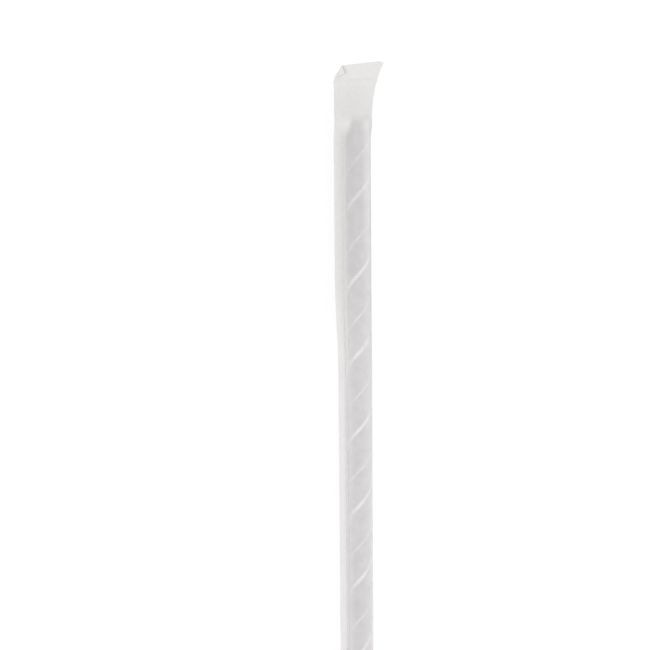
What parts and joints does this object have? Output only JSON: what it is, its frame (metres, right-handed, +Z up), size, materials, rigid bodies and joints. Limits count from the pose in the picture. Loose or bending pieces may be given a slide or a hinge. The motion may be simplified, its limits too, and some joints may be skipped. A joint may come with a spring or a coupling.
{
  "type": "wrapped paper drinking straw",
  "caption": "Straight striped paper drinking straw sealed in a thin see-through paper sleeve with a side fin and pressed end seals, lying on its side.",
  "frame": {"origin": "bottom centre of the part's box: on the surface it lies on, halfway along the wrapper", "axes": "+Y along the straw towards the dog-eared end of the wrapper, +Z up from the surface, the side fin at -X"},
  "size_m": [0.0128, 0.222, 0.0064],
  "materials": {
    "straw_paper": "matt black printed paper with white helical stripes",
    "wrapper_paper": "thin translucent white paper"
  },
  "bodies": {
    "root": {"straw": "straw_paper", "wrapper": "wrapper_paper"}
  },
  "joints": []
}
